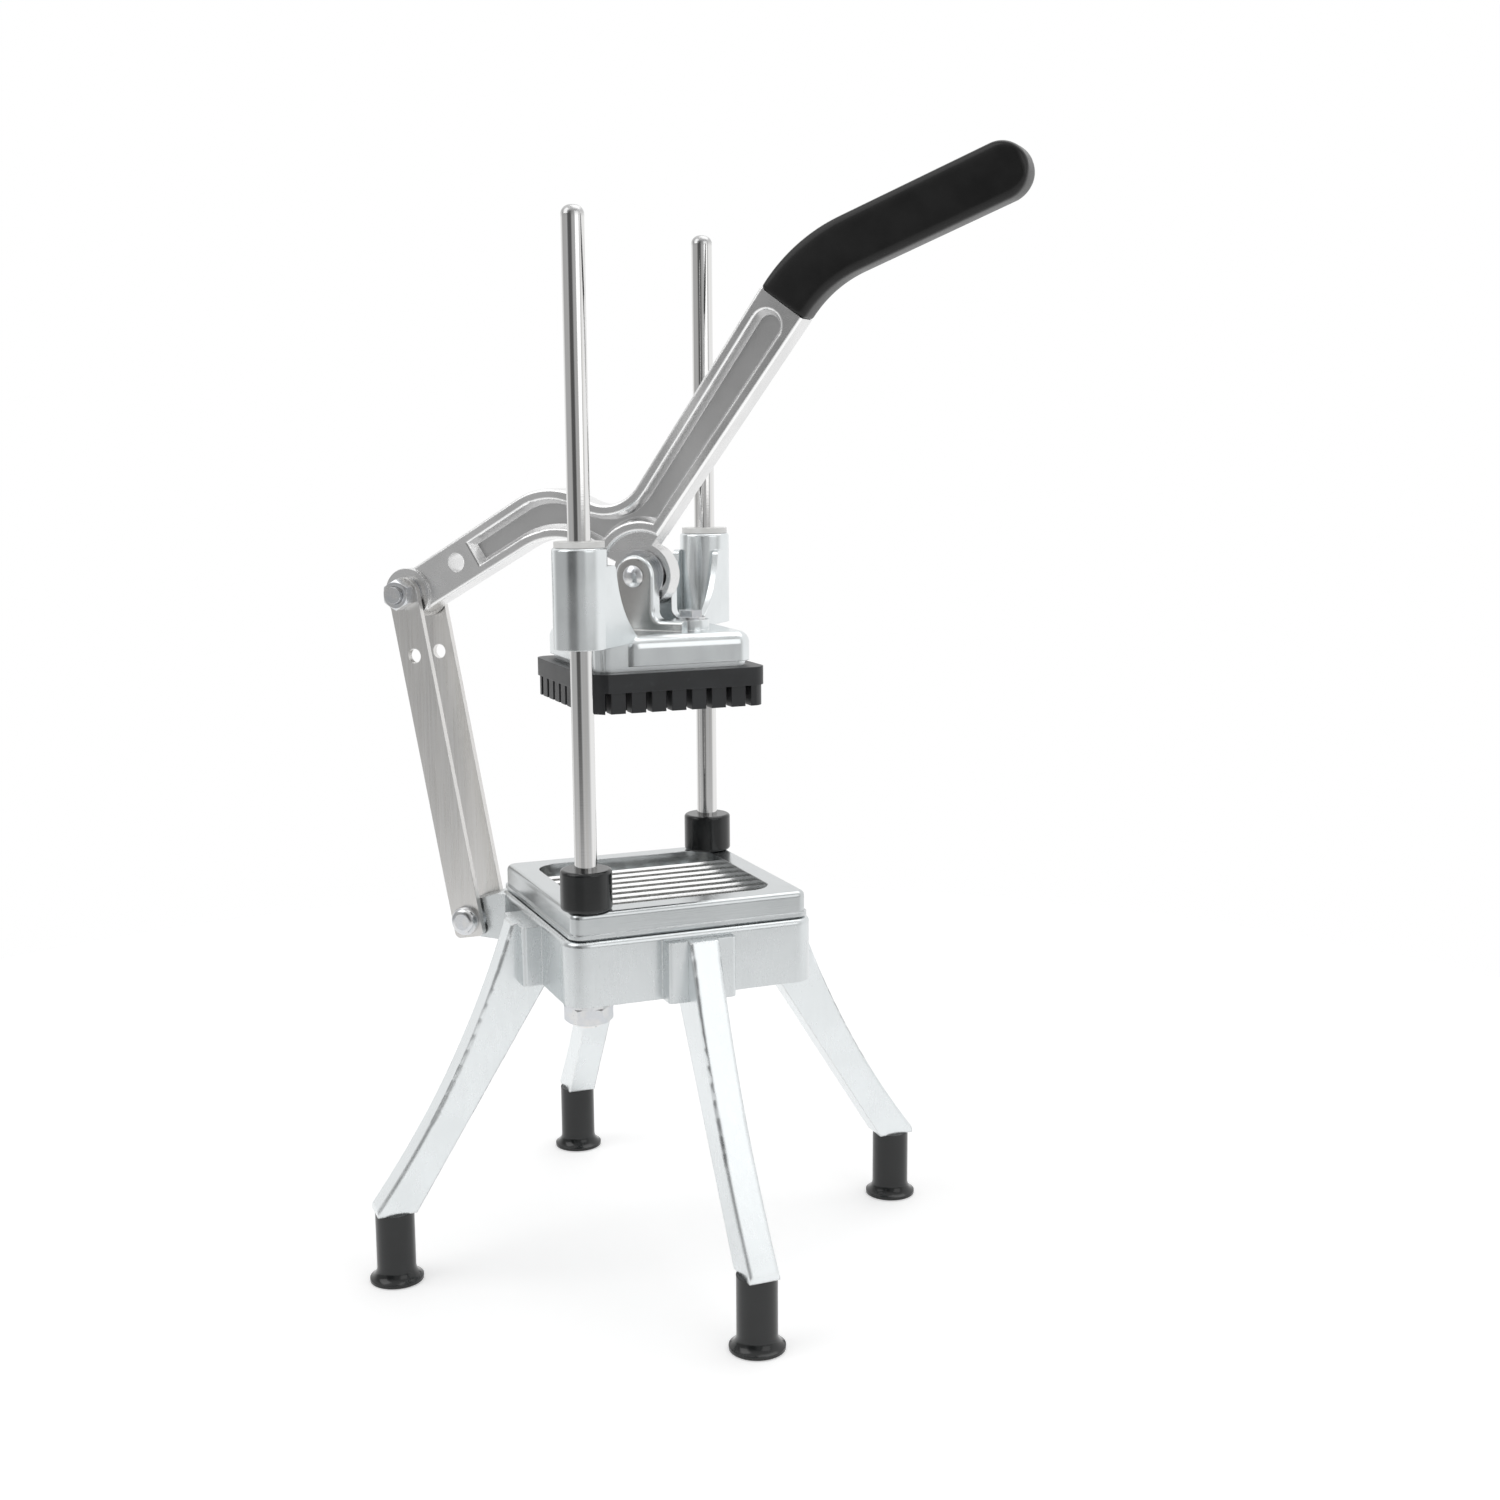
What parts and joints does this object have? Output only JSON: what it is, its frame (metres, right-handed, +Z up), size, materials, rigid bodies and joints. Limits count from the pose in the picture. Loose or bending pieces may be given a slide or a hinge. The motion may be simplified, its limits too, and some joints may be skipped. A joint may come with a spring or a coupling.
{
  "type": "potato slicer",
  "caption": "Lever press on splayed legs: a long handle drives a toothed block down guide rods to push a potato through a square grid of blades.",
  "frame": {"origin": "on the worktop under the centre of the square blade grid, midway between the feet", "axes": "+X from the link towards the grip, +Y along the line of the guide rods, +Z up"},
  "size_m": [0.3149, 0.2054, 0.5038],
  "materials": {
    "cast_aluminium": "satin polished casting",
    "black_rubber": "matte",
    "soft_grip": "matte dipped vinyl",
    "black_plastic": "satin",
    "polished_rod": "polished",
    "blade_steel": "ground",
    "link_steel": "brushed along the bar",
    "bush_plastic": "satin",
    "fastener_steel": "bright zinc"
  },
  "bodies": {
    "base": {"base_casting": "cast_aluminium", "leg_grip_near": "cast_aluminium", "leg_grip_far": "cast_aluminium", "leg_link_far": "cast_aluminium", "leg_link_near": "cast_aluminium", "leg_screws": "fastener_steel", "foot_grip_near": "black_rubber", "foot_grip_far": "black_rubber", "foot_link_far": "black_rubber", "foot_link_near": "black_rubber", "blade_frame": "cast_aluminium", "blades_upper": "blade_steel", "blades_lower": "blade_steel", "guide_rod_near": "polished_rod", "guide_rod_far": "polished_rod", "bumper_near": "black_rubber", "bumper_far": "black_rubber", "rod_washers": "fastener_steel", "rod_nuts": "fastener_steel", "base_pivot_bolt": "fastener_steel", "base_pivot_nut": "fastener_steel", "base_pivot_spacers": "fastener_steel"},
    "link": {"link_bar_near": "link_steel", "link_bar_far": "link_steel", "link_pivot_bolt": "fastener_steel", "link_pivot_nut": "fastener_steel", "link_pivot_spacers": "fastener_steel"},
    "handle": {"handle_arm": "cast_aluminium", "handle_grip": "soft_grip"},
    "head": {"head_casting": "cast_aluminium", "guide_bush_near": "bush_plastic", "guide_bush_far": "bush_plastic", "push_block": "black_plastic", "block_screws": "fastener_steel", "handle_pin": "fastener_steel", "pin_ring": "fastener_steel", "thrust_washers": "fastener_steel"}
  },
  "joints": [
    {"name": "head_slide", "type": "slide", "parent": "base", "child": "head", "axis": [0, 0, 1], "range_m": [-0.097, 0.015]},
    {"name": "link_swing", "type": "hinge", "parent": "base", "child": "link", "pos_m": [-0.0945, 0, 0.1515], "axis": [0, -1, 0], "range_deg": [-9.25, 1.44]},
    {"name": "handle_swing", "type": "hinge", "parent": "link", "child": "handle", "pos_m": [-0.1245, 0, 0.3105], "axis": [0, -1, 0], "range_deg": [-38.27, 5.93]}
  ],
  "couplings": [
    {"joint": "link_swing", "follows": "head_slide", "rad_per_m": 1.663},
    {"joint": "handle_swing", "follows": "head_slide", "rad_per_m": 6.884}
  ]
}
